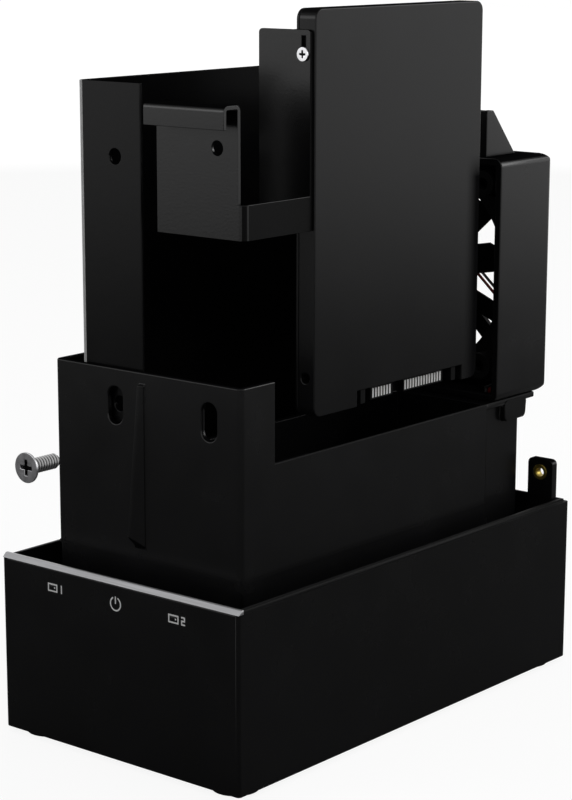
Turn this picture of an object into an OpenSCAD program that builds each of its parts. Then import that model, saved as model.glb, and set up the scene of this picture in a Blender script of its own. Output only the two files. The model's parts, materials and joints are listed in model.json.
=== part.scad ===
// Two-bay drive enclosure with its outer cover off: low base, upright cradle, metal tray,
// lifted adapter with a slim drive, rear fan in its housing and one fixing screw drawn out.
// Millimetres, +Z up, front towards -Y, origin on the ground under the middle of the whole.

/* [Base] */
// outer width of the base
case_w = 80.2; // [79:0.1:88]
// room behind the cradle's bays, up to the base's rear face
rear_room = 27.6; // [27:0.1:34]
// height of the base without its feet
case_h = 45.7; // [44:0.1:50]
// wall thickness of the base
case_wall = 2; // [1.6:0.1:2.4]
// height of the bright chamfer on the front rim
trim_h = 1.2; // [0.7:0.1:1.4]
// height of the feet
foot_h = 1.5; // [1.2:0.1:3]
// diameter of the feet
foot_d = 12; // [9:0.5:13]

/* [Cradle] */
// outer width of the drive cradle
cradle_w = 62.2; // [62:0.1:63.4]
// distance of the cradle behind the front of the base
cradle_setback = 11.5; // [10:0.1:11.5]
// outer depth of the cradle's two bays
bay_l = 104; // [103.4:0.1:105]
// wall thickness of the cradle
cradle_wall = 1.6; // [1.4:0.1:1.7]
// height of the cradle's front wall above the rim of the base
cradle_rise = 51.6; // [48:0.1:54]
// depth of the side cut-outs below the cradle's top
cut_depth = 20.3; // [16:0.1:22]
// width of the two upright slots
slot_w = 4.9; // [4.5:0.1:5.4]
// height of the two upright slots
slot_h = 9.5; // [8:0.1:11]

/* [Tray] */
// width of the tray's front flange
tray_w = 20.8; // [19:0.1:21.8]
// height of the tray's top above the cradle's front wall
tray_rise = 70.3; // [60:0.1:75]
// diameter of the tray's front hole
tray_hole_d = 3.9; // [3.4:0.1:4.4]

/* [Adapter] */
// distance the adapter is drawn up out of its bay
adapter_lift = 65.5; // [58:0.1:68]
// width of the adapter's front plate
plate_w = 27.2; // [25:0.1:27.4]
// height of the adapter's front plate
plate_h = 31.9; // [29:0.1:34]
// sheet thickness of the adapter and the tray
sheet_t = 1; // [0.8:0.1:1.1]
// height of the hook's lip
lip_h = 5.6; // [4.5:0.1:7]
// diameter of the fixing screw's shank
screw_d = 3.5; // [3.2:0.1:3.8]

/* [Fan] */
// wall between the fan's air duct and the sides of its frame
duct_wall = 1.7; // [1.6:0.1:2.8]
// number of fan blades
blades = 11; // [5:1:11]
// depth of the fan housing
shroud_d = 25.2; // [24:0.1:27]

/* [Hidden] */
$fn = 48;
e = 0.01;
over = 1;
gap = 0.3;
fit = 0.05;
m25_d = 2.5;
m3_d = 3;
// base
case_d = cradle_setback + bay_l + rear_room;
rim_z = foot_h + case_h;
case_front = -case_d/2;
case_rear = case_d/2;
rear_in = case_rear - case_wall;
case_in_x = case_w/2 - case_wall;
floor_z = foot_h + 2;
case_r = 1;
rim_lip_t = 0.9;
rim_lip_h = 0.8;
foot_in = 8;
foot_sink = 0.5;
boss_d = 8;
boss_h = 5.5;
small_boss_d = 6;
head_room = 2.4;
board_t = 1.6;
board_side = 2;
board_end = 4;
board_z = floor_z + boss_h;
board_top = board_z + board_t;
board_w = 2*(case_in_x - board_side);
board_l = case_d - 2*case_wall - 2*board_end;
board_fix_in = 3.2;
bridge_chip = 10;
power_chip = 7;
vent_w = 2;
vent_l = 34;
vent_n = 9;
vent_pitch = 5;
// marks on the front
mark_t = 0.4;
mark_z = rim_z - 4.7;
mark_x = 20.6;
mark_h = 2.2;
mark_gap = 1.2;
stroke_w = 0.4;
picto_w = 3.4;
digit_w = 1.3;
power_d = 3.8;
power_gap = 1.5;
// cradle
cradle_x = cradle_w/2;
cradle_r = 1.5;
cradle_front = case_front + cradle_setback;
cradle_top = rim_z + cradle_rise;
cradle_bot = board_top + 2.4;
step_z = rim_z + 3.5;
step_in = 0.15;
bead_h = 0.5;
bay_end = cradle_front + bay_l;
bay_y0 = cradle_front + cradle_wall;
bay_y1 = bay_end - cradle_wall;
stub_l = 12.9;
cut_z = cradle_top - cut_depth;
deck_t = 2;
deck_z = cradle_bot + 5.6;
deck_top = deck_z + deck_t;
divider_x = 0.2;
divider_t = 1.6;
guide_l = 1.6;
guide_h = 30;
guide_in = 14;
rear_x = 29.5;
rear_l = rear_room - 10.3;
rear_drop = 20;
rear_end = bay_end + rear_l;
ledge_t = 1.6;
ledge_l = rear_l + 5;
clip_t = 1.8;
clip_l = 10.9;
clip_r = 1.6;
clip_h = 4.8;
chip_y = cradle_front + 19;
leg_x = 25;
leg_in = 8;
slot_cz = cradle_top - 9.4;
slot_right_x = 20.9;
slot_left_x = -10.2;
fix_z = cradle_top - 9.3;
rib_top_z = cradle_top - 3.2;
rib_bot_z = step_z + 3.4;
rib_out = 3.1;
rib_out_top = 1.1;
rib_rise = 3;
rib_w = 0.6;
rib_x1 = -0.05;
// tray
bend_r = 1.2;
tray_x0 = -23.2;
tray_hole_x = slot_left_x - 0.65;
tray_y0 = bay_y0 + gap;
tray_y1 = bay_y1 - gap;
tray_z0 = deck_top + gap;
tray_z1 = cradle_top + tray_rise;
tray_flange_rear = 12;
tray_foot_w = 6;
tray_hole_z = tray_z1 - 18.1;
// slim drive, standard outline
drive_h = 100;
drive_w = 69.85;
drive_t = 6;
drive_x1 = 29.9;
drive_x0 = drive_x1 - drive_t;
drive_r = 2.6;
drive_base_t = 0.8;
drive_wall = 1;
drive_end_wall = 5;
drive_foot_wall = 8;
drive_hole_hi = 89.2;
drive_hole_lo = 9.8;
drive_hole_l = 4;
drive_hole_x = drive_x1 - 2.9;
drive_head_d = 3.4;
drive_screw_d = 2.5;
drive_head_t = 0.6;
drive_screw_l = 3;
drive_board_top = 60;
conn_y0 = 17.6;
conn_y1 = 63;
conn_h = 4.1;
conn_z = 0.4;
conn_back_t = 1.2;
conn_tab_in = 0.6;
conn_tab_w = 2;
conn_face_in = 1.8;
sig_y0 = 25.3;
sig_y1 = 34.8;
pow_y0 = 39.4;
pow_y1 = 56.9;
pin_pitch = 1.19;
pin_w = 0.6;
pin_t = 0.2;
pin_h = 2.5;
pin_z = 0.9;
sig_n = 7;
pow_n = 14;
cross_l = 1.9;
cross_w = 0.5;
// adapter
hook_under = cradle_top + adapter_lift;
hook_top = hook_under + sheet_t;
hook_clear = 1.92;
hook_r = 1.5;
plate_bend_r = 1.8;
plate_front = bay_y0 + hook_clear;
plate_z0 = hook_top - plate_h;
plate_x1 = drive_x1 - 0.8;
plate_edge = plate_x1 - plate_bend_r;
plate_x0 = plate_x1 - plate_w - 0.4;
lip_reach = 5;
lip_x0 = plate_x0 + 0.4;
band_h = 8.5;
drive_rear_gap = 3.35;
adapter_reach = bay_l - 2*cradle_wall - hook_clear - drive_w - drive_rear_gap;
drive_y0 = plate_front + adapter_reach;
drive_y1 = drive_y0 + drive_w;
drive_z0 = hook_top - 78.6;
flange_z1 = hook_top + 16.4;
flange_x0 = 12.9;
flange_r = 1;
keyhole_w = 1.4;
keyhole_h = 4.4;
seat_gap = 0.1;
dock_drop = adapter_lift - seat_gap;
adapter_hole_z = fix_z + dock_drop;
// dock on the main board
dock_w = 5;
dock_slot_w = 1.6;
dock_slot_l = 4;
dock_end = 2;
dock_in = 0.6;
dock_gap = 0.4;
dock_top = drive_z0 - dock_drop - dock_gap;
dock_right_x = drive_x1 - 3.1;
dock_left_x = -12.4;
dock_opening = 3.4;
dock_pin_n = 22;
dock_pin_pitch = 1.7;
dock_pin_w = 0.8;
dock_pin_t = 0.3;
dock_pin_y = 22;
dock_pin_low = 4;
dock_pin_high = 0.6;
pocket_t = 0.7;
pocket_end = 2;
// fixing screw
fix_head_d = 6.9;
fix_len = 9.5;
fix_cone = (fix_head_d - screw_d)/2;
fix_edge = 0.5;
fix_tip = 0.6;
fix_out = 61;
fix_y0 = cradle_front - fix_out;
recess_d = 3.6;
recess_w = 0.9;
recess_deep = 1.3;
// fan and housing
fan_size = 60;
fan_pitch = fan_size - 10;
duct_d = fan_size - 2*duct_wall;
fan_t = 15;
fan_r = 2;
fan_hole_d = 3.2;
post_d = 7.2;
shroud_wall = 2;
shroud_x = fan_size/2 + gap + shroud_wall;
shroud_y0 = bay_end + 1.7;
shroud_y1 = shroud_y0 + shroud_d;
shroud_z0 = cut_z;
shroud_z1 = shroud_z0 + fan_size + 2*(gap + shroud_wall) + 1.9;
shroud_r = 2.4;
shroud_back_r = 5;
fan_cz = shroud_z1 - shroud_wall - gap - fan_size/2;
fan_y0 = shroud_y0 + 1.5;
fan_y1 = fan_y0 + fan_t;
fan_boss_d = 7;
duct_l = 9;
duct_y0 = fan_y1 - duct_l;
strut_t = 1.6;
strut_w = 4.4;
motor_d = 24;
motor_t = 4;
core_d = 8;
axle_d = 2;
axle_in = 2;
hub_d = 25;
hub_t = 8.4;
hub_wall = 1.5;
hub_gap = 0.4;
hub_front = fan_y1 - motor_t - hub_gap - hub_t;
blade_t = 1;
blade_gap = 0.7;
blade_l = 10.8;
blade_tilt = 40;
blade_turn = -10;
open_d = fan_size - 3;
guard_d = 15;
spoke_w = 2;
fan_head_d = 5.4;
fan_head_t = 1.6;
fan_grip = 8;
top_plate_x = shroud_x - 5.4;
top_plate_t = 2;
top_plate_h = 12.4;
top_plate_in = 0.5;
gusset_top = 3.1;
gusset_l = 13.8;
// fan leads, from the motor over the frame's edge and down to the plug on the board
lead_d = 0.8;
lead_side = 0.9;
lead_drop = 3;
lead_x = 26;
lead_y = shroud_y0 + 4.8;
lead_notch_z = fan_cz - 15.2;
lead_notch_x = fan_size/2 - 1.1;
lead_back_y = fan_y1 + lead_d/2 + 0.4;
lead_start_x = 9.6;
lead_start_z = fan_cz + 1.8;
lead_turn_z = shroud_z0 + shroud_wall + 2.6;
lead_low_z = shroud_z0 + shroud_wall + 1;
lead_hole_d = 5;
plug_w = 4;
plug_l = 6;
plug_h = 4;
plug_z = board_top + plug_h;
// rear of the base
tab_w = 8.2;
tab_t = 2.4;
tab_r = 1.4;
tab_x1 = case_in_x - 1;
tab_x0 = tab_x1 - tab_w;
tab_x = (tab_x0 + tab_x1)/2;
tab_y0 = rear_in - tab_t;
tab_z1 = rim_z + 11.9;
tab_z0 = rim_z - 22;
tab_screw_z = tab_z0 + 6;
insert_z = tab_z1 - 3.8;
insert_d = 4.4;
insert_bore = 2.5;
insert_proud = 0.2;
head_d = 4.6;
port_z = board_top + 7;
port_in = 0.2;
jack_x = 14.1 - case_in_x;
jack_d = 9;
jack_l = 14;
jack_deep = 11;
jack_hole_d = 6.4;
jack_pin_d = 2;
jack_pin_in = 1.4;
usb_x = -4;
usb_w = 9;
usb_h = 3.2;
usb_l = 9;
usb_wall = 0.3;
usb_foot = 1.2;
usb_tongue_x = 3.2;
usb_tongue_t = 0.7;
button_x = case_in_x - 22.1;
button_d = 7;
button_l = 11;
button_out = 2;
button_travel = 1.5;
stem_d = 4;
stem_l = 1;
switch_x = 6;
switch_l = 16;
// the whole reaches from the loose screw's head to the button, and its middle is put on the origin
whole_y = -(fix_y0 + case_rear + button_out)/2;

module block(x0, x1, y0, y1, z0, z1) {
  translate([x0, y0, z0]) cube([x1 - x0, y1 - y0, z1 - z0]);
}

module rod_x(y, z, x0, x1, d) {
  translate([x0, y, z]) rotate([0, 90, 0]) cylinder(d = d, h = x1 - x0);
}

module rod_y(x, z, y0, y1, d) {
  translate([x, y0, z]) rotate([-90, 0, 0]) cylinder(d = d, h = y1 - y0);
}

module rod_z(x, y, z0, z1, d) {
  translate([x, y, z0]) cylinder(d = d, h = z1 - z0);
}

// block with its four vertical edges rounded
module pillar_block(x0, x1, y0, y1, z0, z1, r) {
  block(x0 + r, x1 - r, y0, y1, z0, z1);
  block(x0, x1, y0 + r, y1 - r, z0, z1);
  for (x = [x0 + r, x1 - r])
    for (y = [y0 + r, y1 - r])
      rod_z(x, y, z0, z1, 2*r);
}

// slab whose outline in the YZ plane has rounded corners
module slab_x(x0, x1, y0, y1, z0, z1, r) {
  block(x0, x1, y0 + r, y1 - r, z0, z1);
  block(x0, x1, y0, y1, z0 + r, z1 - r);
  for (y = [y0 + r, y1 - r])
    for (z = [z0 + r, z1 - r])
      rod_x(y, z, x0, x1, 2*r);
}

// slab whose outline in the XZ plane has rounded corners
module slab_y(x0, x1, y0, y1, z0, z1, r) {
  block(x0 + r, x1 - r, y0, y1, z0, z1);
  block(x0, x1, y0, y1, z0 + r, z1 - r);
  for (x = [x0 + r, x1 - r])
    for (z = [z0 + r, z1 - r])
      rod_y(x, z, y0, y1, 2*r);
}

// upright slot with round ends, cut along Y
module slot_y(x, zc, w, h, y0, y1) {
  block(x - w/2, x + w/2, y0, y1, zc - h/2 + w/2, zc + h/2 - w/2);
  rod_y(x, zc - h/2 + w/2, y0, y1, w);
  rod_y(x, zc + h/2 - w/2, y0, y1, w);
}

// upright quarter bend of the sheet, starting at angle a round its centre
module sheet_bend(x, y, z0, z1, a, r = bend_r) {
  translate([x, y, z0]) rotate([0, 0, a]) rotate_extrude(angle = 90)
    translate([r - sheet_t, 0]) square([sheet_t, z1 - z0]);
}

// straight round wire from a to b with a slightly larger ball at b
module wire(a, b, d) {
  v = b - a;
  translate(a) rotate([0, acos(v.z/norm(v)), atan2(v.y, v.x)]) cylinder(d = d, h = norm(v));
  translate(b) sphere(d = 1.06*d);
}

module at_legs() {
  for (x = [-leg_x, leg_x])
    for (y = [cradle_front + leg_in, bay_end - leg_in])
      translate([x, y, 0]) children();
}

module at_board_fixes() {
  for (x = [-1, 1])
    for (y = [-1, 1])
      translate([x*(board_w/2 - board_fix_in), y*(board_l/2 - board_fix_in), 0]) children();
}

module at_feet() {
  for (x = [-1, 1])
    for (y = [-1, 1])
      translate([x*(case_w/2 - foot_in), y*(case_d/2 - foot_in), 0]) children();
}

module at_fan_corners() {
  for (x = [-fan_pitch/2, fan_pitch/2])
    for (z = [-fan_pitch/2, fan_pitch/2])
      translate([x, 0, fan_cz + z]) children();
}

// one stroke of a flat mark on the front, from x, z with a width and height
module stroke(x, z, w, h) {
  block(x, x + w, case_front, case_front + mark_t, z, z + h);
}

// small generic picture of a drive: a frame with a lamp dot
module drive_picture(x) {
  difference() {
    stroke(x, mark_z - mark_h/2, picto_w, mark_h);
    block(x + stroke_w, x + picto_w - stroke_w, case_front - e, case_front + mark_t + e,
      mark_z - mark_h/2 + stroke_w, mark_z + mark_h/2 - stroke_w);
  }
  stroke(x + picto_w - 3*stroke_w, mark_z - stroke_w/2, stroke_w, stroke_w);
}

module digit_one(x) {
  stroke(x, mark_z - mark_h/2, stroke_w, mark_h);
}

module digit_two(x) {
  for (i = [0, 1, 2])
    stroke(x, mark_z - mark_h/2 + i*(mark_h - stroke_w)/2, digit_w, stroke_w);
  stroke(x, mark_z - mark_h/2, stroke_w, mark_h/2);
  stroke(x + digit_w - stroke_w, mark_z - stroke_w/2, stroke_w, mark_h/2 + stroke_w/2);
}

module left_sign() {
  drive_picture(-mark_x - picto_w + stroke_w);
  digit_one(-mark_x + stroke_w + mark_gap);
}

module right_sign() {
  drive_picture(mark_x - picto_w + stroke_w);
  digit_two(mark_x + mark_gap);
}

module power_sign() {
  difference() {
    rod_y(0, mark_z, case_front, case_front + mark_t, power_d);
    rod_y(0, mark_z, case_front - e, case_front + mark_t + e, power_d - 2*stroke_w);
    block(-power_gap/2, power_gap/2, case_front - e, case_front + mark_t + e, mark_z, mark_z + power_d);
  }
  stroke(-stroke_w/2, mark_z, stroke_w, power_d/2);
}

module mark_left() {
  color("Gainsboro") left_sign();
}

module mark_power() {
  color("Gainsboro") power_sign();
}

module mark_right() {
  color("Gainsboro") right_sign();
}

module rim_lips() {
  for (s = [-1, 1])
    block(s*(case_in_x + rim_lip_t/2) - rim_lip_t/2, s*(case_in_x + rim_lip_t/2) + rim_lip_t/2,
      case_front + case_wall, rear_in + rim_lip_t, rim_z - over, rim_z + rim_lip_h);
  block(-case_in_x, case_in_x, rear_in, rear_in + rim_lip_t, rim_z - over, rim_z + rim_lip_h);
}

module base_vents() {
  for (i = [0 : vent_n - 1])
    translate([0, (i - (vent_n - 1)/2)*vent_pitch, 0])
      block(-vent_l/2, vent_l/2, -vent_w/2, vent_w/2, foot_h - e, floor_z + e);
}

module rear_ports() {
  rod_y(jack_x, port_z, rear_in - e, case_rear + e, jack_d + 2*gap);
  block(usb_x - usb_w/2 - gap, usb_x + usb_w/2 + gap, rear_in - e, case_rear + e,
    port_z - usb_h/2 - gap, port_z + usb_h/2 + gap);
  rod_y(button_x, port_z, rear_in - e, case_rear + e, button_d + 2*gap);
  rod_y(tab_x, tab_screw_z, rear_in - e, case_rear + e, m25_d + 2*fit);
}

module base_case() {
  color("DimGray") difference() {
    union() {
      difference() {
        pillar_block(-case_w/2, case_w/2, case_front, case_rear, foot_h, rim_z, case_r);
        pillar_block(-case_in_x, case_in_x, case_front + case_wall, rear_in, floor_z, rim_z + e, case_r);
      }
      rim_lips();
      at_legs() rod_z(0, 0, floor_z - e, board_z, boss_d);
      at_board_fixes() rod_z(0, 0, floor_z - e, board_z, small_boss_d);
    }
    at_legs() {
      rod_z(0, 0, foot_h - e, board_z + e, m3_d + 2*fit);
      rod_z(0, 0, foot_h - e, foot_h + head_room, 2*m3_d + 0.4);
    }
    at_board_fixes() rod_z(0, 0, floor_z + over, board_z + e, m25_d + 2*fit);
    at_feet() rod_z(0, 0, foot_h - e, foot_h + foot_sink, foot_d + 2*fit);
    base_vents();
    rear_ports();
    left_sign();
    right_sign();
    power_sign();
  }
}

module front_trim() {
  color("Silver") translate([-case_w/2, 0, 0]) rotate([90, 0, 90]) linear_extrude(case_w)
    polygon([[case_front, rim_z], [case_front + trim_h, rim_z + trim_h],
      [case_front + case_wall, rim_z + trim_h], [case_front + case_wall, rim_z]]);
}

module feet() {
  color("Black") at_feet() rod_z(0, 0, 0, foot_h + foot_sink, foot_d);
}

module main_board() {
  color("DarkGreen") difference() {
    block(-board_w/2, board_w/2, -board_l/2, board_l/2, board_z, board_top);
    at_legs() rod_z(0, 0, board_z - e, board_top + e, m3_d + 2*fit);
    at_board_fixes() rod_z(0, 0, board_z - e, board_top + e, m25_d + 2*fit);
  }
}

module board_screws() {
  color("Silver") at_board_fixes() {
    rod_z(0, 0, board_z - 4, board_top, m25_d);
    difference() {
      rod_z(0, 0, board_top, board_top + 1.6, head_d);
      for (a = [0, 90])
        rotate([0, 0, a]) block(-head_d/3, head_d/3, -cross_w/2, cross_w/2, board_top + 0.8, board_top + 2);
    }
  }
}

module chip(x, y, w, l) {
  block(x - w/2, x + w/2, y - l/2, y + l/2, board_top, board_top + 1.3);
}

module board_chips() {
  color("Black") {
    chip(-bridge_chip, chip_y, bridge_chip, bridge_chip);
    chip(bridge_chip, chip_y, bridge_chip - 1, bridge_chip - 2);
    chip(-bridge_chip, bay_end + power_chip, power_chip, power_chip);
  }
}

module dock_block(xc) {
  y0 = drive_y0 + conn_y0 + dock_in;
  y1 = drive_y0 + conn_y1 - dock_in;
  difference() {
    block(xc - dock_w/2, xc + dock_w/2, y0, y1, board_top, dock_top);
    block(xc - dock_slot_w/2, xc + dock_slot_w/2, y0 + dock_end, y1 - dock_end,
      dock_top - dock_slot_l, dock_top + e);
  }
}

module dock_sockets() {
  color("Black") {
    dock_block(dock_right_x);
    dock_block(dock_left_x);
  }
}

module dock_contacts() {
  color("Gold") for (xc = [dock_right_x, dock_left_x])
    for (i = [0 : dock_pin_n - 1])
      translate([xc + dock_slot_w/2, drive_y0 + dock_pin_y + i*dock_pin_pitch, dock_top])
        block(-dock_pin_t, 0, 0, dock_pin_w, -dock_pin_low, -dock_pin_high);
}

module dc_jack() {
  color("Black") difference() {
    union() {
      rod_y(jack_x, port_z, rear_in - gap - over, case_rear - port_in, jack_d);
      block(jack_x - jack_d/2, jack_x + jack_d/2, case_rear - jack_l, rear_in - gap,
        board_top, port_z + jack_d/2);
    }
    rod_y(jack_x, port_z, case_rear - jack_deep, case_rear, jack_hole_d);
  }
}

module jack_pin() {
  color("Silver") rod_y(jack_x, port_z, case_rear - jack_deep, case_rear - jack_pin_in, jack_pin_d);
}

module usb_port() {
  color("Silver") {
    difference() {
      block(usb_x - usb_w/2, usb_x + usb_w/2, case_rear - usb_l, case_rear - port_in,
        port_z - usb_h/2, port_z + usb_h/2);
      block(usb_x - usb_w/2 + usb_wall, usb_x + usb_w/2 - usb_wall, case_rear - usb_l + over, case_rear,
        port_z - usb_h/2 + usb_wall, port_z + usb_h/2 - usb_wall);
    }
    for (s = [-1, 1])
      translate([usb_x + s*(usb_w - usb_foot)/2, 0, 0])
        block(-usb_foot/2, usb_foot/2, case_rear - usb_l + over, rear_in - 2*over,
          board_top, port_z - usb_h/2 + usb_wall);
  }
}

module usb_tongue() {
  color("Black") block(usb_x - usb_tongue_x, usb_x + usb_tongue_x, case_rear - usb_l + over,
    case_rear - jack_pin_in, port_z - usb_tongue_t/2, port_z + usb_tongue_t/2);
}

module switch_body() {
  color("Black") difference() {
    block(button_x - switch_x, button_x + switch_x, case_rear - switch_l, rear_in - gap,
      board_top, port_z + switch_x);
    rod_y(button_x, port_z, case_rear + button_out - button_l - stem_l - button_travel - 0.5, case_rear,
      button_d + 2*gap);
  }
}

module power_button() {
  color("DimGray") {
    rod_y(button_x, port_z, case_rear + button_out - button_l, case_rear + button_out, button_d);
    rod_y(button_x, port_z, case_rear + button_out - button_l - stem_l, case_rear, stem_d);
  }
}

module rear_tab() {
  color("DimGray") difference() {
    slab_y(tab_x0, tab_x1, tab_y0, rear_in, tab_z0, tab_z1, tab_r);
    rod_y(tab_x, insert_z, tab_y0 - e, rear_in + e, insert_d + 2*fit);
    rod_y(tab_x, tab_screw_z, tab_y0 - e, rear_in + e, m25_d + 2*fit);
  }
}

module brass_insert() {
  color("Goldenrod") difference() {
    rod_y(tab_x, insert_z, tab_y0 - insert_proud, rear_in, insert_d);
    rod_y(tab_x, insert_z, tab_y0 - over, rear_in + over, insert_bore);
  }
}

module tab_screw() {
  color("Silver") {
    rod_y(tab_x, tab_screw_z, tab_y0 - over, case_rear, m25_d);
    rod_y(tab_x, tab_screw_z, case_rear, case_rear + 1.2, head_d);
  }
}

module cradle_body() {
  difference() {
    union() {
      pillar_block(-cradle_x, cradle_x, cradle_front, bay_end, step_z + bead_h, cradle_top, cradle_r);
      pillar_block(-cradle_x - step_in, cradle_x + step_in, cradle_front - step_in, bay_end,
        step_z, step_z + bead_h, cradle_r);
    }
    block(-cradle_x + cradle_wall, cradle_x - cradle_wall, bay_y0, bay_y1, step_z - over, cradle_top + over);
    block(-cradle_x - over, cradle_x + over, cradle_front + stub_l, bay_end + over, cut_z, cradle_top + over);
  }
}

module cradle_skirt() {
  difference() {
    pillar_block(-cradle_x + step_in, cradle_x - step_in, cradle_front + step_in, bay_end,
      cradle_bot, step_z + e, cradle_r);
    block(-cradle_x + cradle_wall, cradle_x - cradle_wall, bay_y0, bay_y1, cradle_bot - over, step_z + over);
  }
}

module cradle_deck() {
  difference() {
    block(-cradle_x + over, cradle_x - over, cradle_front + over, bay_end - over, deck_z, deck_top);
    block(drive_x0 - pocket_end, cradle_x - cradle_wall, drive_y0 - pocket_end, drive_y1 + pocket_end,
      deck_z - over, deck_top + over);
    block(dock_left_x - dock_opening, dock_left_x + dock_opening, drive_y0 + conn_y0 - pocket_end,
      drive_y0 + conn_y1 + pocket_end, deck_z - over, deck_top + over);
  }
}

// two low ribs that guide the tray's side wall
module tray_guides() {
  for (y = [bay_y0 + guide_in, bay_y1 - guide_in])
    block(-cradle_x + over, tray_x0 - gap, y - guide_l/2, y + guide_l/2, deck_z, deck_top + guide_h);
}

module cradle_rear() {
  difference() {
    pillar_block(-rear_x, rear_x, bay_end - cradle_wall, rear_end, rim_z - rear_drop,
      cut_z - ledge_t + e, cradle_r);
    block(-rear_x + cradle_wall, rear_x - cradle_wall, bay_end - e, rear_end - cradle_wall,
      rim_z - rear_drop - over, cut_z - ledge_t);
  }
  pillar_block(-cradle_x, cradle_x, bay_end - cradle_wall, bay_end + ledge_l, cut_z - ledge_t, cut_z, 0.7);
  for (s = [-1, 1])
    translate([s*(rear_x + clip_t/2), 0, 0])
      slab_x(-clip_t/2, clip_t/2, rear_end - clip_l + over, rear_end + over/2,
        cut_z - ledge_t - clip_h, cut_z - over/2, clip_r);
}

module front_rib() {
  translate([rib_x1, cradle_front, 0]) hull() {
    translate([-rib_out_top - rib_w, -rib_out_top, rib_top_z]) cube([rib_w, rib_out_top + e, 0.2]);
    translate([-rib_w, -0.2, rib_top_z]) cube([rib_w, 0.2 + e, 0.2]);
    translate([-rib_out - rib_w, -rib_out, rib_bot_z + rib_rise]) cube([rib_w, rib_out + e, 0.2]);
    translate([-rib_out - rib_w, -0.2, rib_bot_z]) cube([rib_out + rib_w, 0.2 + e, 0.2]);
  }
}

module drive_cradle() {
  color("DimGray") difference() {
    union() {
      cradle_body();
      cradle_skirt();
      cradle_deck();
      cradle_rear();
      tray_guides();
      block(divider_x - divider_t/2, divider_x + divider_t/2, cradle_front + over, bay_end - over,
        deck_z, cut_z);
      at_legs() rod_z(0, 0, board_top, deck_z + e, boss_d);
      front_rib();
    }
    slot_y(slot_left_x, slot_cz, slot_w, slot_h, cradle_front - over, bay_y0 + over);
    slot_y(slot_right_x, slot_cz, slot_w, slot_h, cradle_front - over, bay_y0 + over);
    block(cradle_x - cradle_wall - e, cradle_x - cradle_wall + pocket_t, drive_y0 - pocket_end,
      drive_y1 + pocket_end, deck_z, cut_z + e);
    at_legs() rod_z(0, 0, board_top - e, deck_z - gap, m3_d + 2*fit);
    rod_z(lead_x, lead_y, cut_z - ledge_t - over, cut_z + over, lead_hole_d);
  }
}

module cradle_screws() {
  color("Silver") at_legs() {
    rod_z(0, 0, foot_h + head_room - 1.8, foot_h + head_room, 2*m3_d - 0.4);
    rod_z(0, 0, foot_h + head_room, deck_z - over, m3_d);
  }
}

module drive_tray() {
  color("DimGray") difference() {
    union() {
      block(tray_x0, tray_x0 + sheet_t, tray_y0 + bend_r, tray_y1 - bend_r, tray_z0, tray_z1);
      sheet_bend(tray_x0 + bend_r, tray_y0 + bend_r, tray_z0, tray_z1, 180);
      block(tray_x0 + bend_r, tray_x0 + tray_w, tray_y0, tray_y0 + sheet_t, tray_z0, tray_z1);
      sheet_bend(tray_x0 + bend_r, tray_y1 - bend_r, tray_z0, tray_z1, 90);
      block(tray_x0 + bend_r, tray_x0 + tray_flange_rear, tray_y1 - sheet_t, tray_y1, tray_z0, tray_z1);
      block(tray_x0 + sheet_t/2, tray_x0 + tray_foot_w, tray_y0 + sheet_t/2, tray_y1 - sheet_t/2,
        tray_z0, tray_z0 + sheet_t);
    }
    rod_y(tray_hole_x, tray_hole_z, tray_y0 - over, tray_y0 + sheet_t + over, tray_hole_d);
    rod_y(slot_left_x, fix_z, tray_y0 - over, tray_y0 + sheet_t + over, tray_hole_d);
  }
}

// side outline of the hook: lip, top and plate folded from one sheet
module hook_outline() {
  y0 = plate_front - lip_reach;
  y1 = plate_front + sheet_t;
  difference() {
    union() {
      translate([y0, hook_top - lip_h]) square([y1 - y0, lip_h - hook_r]);
      translate([y0 + hook_r, hook_top - lip_h]) square([y1 - y0 - 2*hook_r, lip_h]);
      for (y = [y0 + hook_r, y1 - hook_r])
        translate([y, hook_top - hook_r]) circle(hook_r);
    }
    translate([y0 + sheet_t, hook_top - lip_h - e]) square([lip_reach - sheet_t, lip_h - hook_r + e]);
    translate([y0 + hook_r, hook_top - lip_h - e]) square([y1 - y0 - 2*hook_r, lip_h - sheet_t + e]);
    for (y = [y0 + hook_r, y1 - hook_r])
      translate([y, hook_top - hook_r]) circle(hook_r - sheet_t);
  }
}

module front_plate() {
  translate([lip_x0, 0, 0]) rotate([90, 0, 90]) linear_extrude(plate_edge - lip_x0) hook_outline();
  block(plate_x0, plate_edge, plate_front, plate_front + sheet_t, plate_z0, hook_top - hook_r);
  sheet_bend(plate_edge, plate_front + plate_bend_r, plate_z0, plate_z0 + band_h, 270, plate_bend_r);
  block(plate_x1 - sheet_t, plate_x1, plate_front + plate_bend_r, drive_y0, plate_z0, plate_z0 + band_h);
}

module drive_frame() {
  slab_y(flange_x0, plate_x1, drive_y0 - sheet_t, drive_y0, plate_z0, flange_z1, flange_r);
  block(drive_x0 - sheet_t, drive_x0, drive_y0 - sheet_t, drive_y1 + sheet_t, plate_z0, flange_z1);
  block(drive_x0 - sheet_t, plate_x1 - over, drive_y1, drive_y1 + sheet_t, plate_z0, flange_z1);
}

module adapter_bracket() {
  color("SlateGray") difference() {
    union() {
      front_plate();
      drive_frame();
    }
    rod_y(slot_right_x, adapter_hole_z, plate_front - over, plate_front + sheet_t + over, screw_d + 2*fit);
    translate([drive_hole_x, 0, drive_z0 + drive_hole_hi]) {
      rod_y(0, 0, drive_y0 - sheet_t - over, drive_y0 + e, drive_screw_d + 2*fit);
      block(-keyhole_w/2, keyhole_w/2, drive_y0 - sheet_t - over, drive_y0 + e, 0, keyhole_h);
      rod_y(0, 0, drive_y1 - e, drive_y1 + sheet_t + over, drive_screw_d + 2*fit);
    }
  }
}

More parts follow.
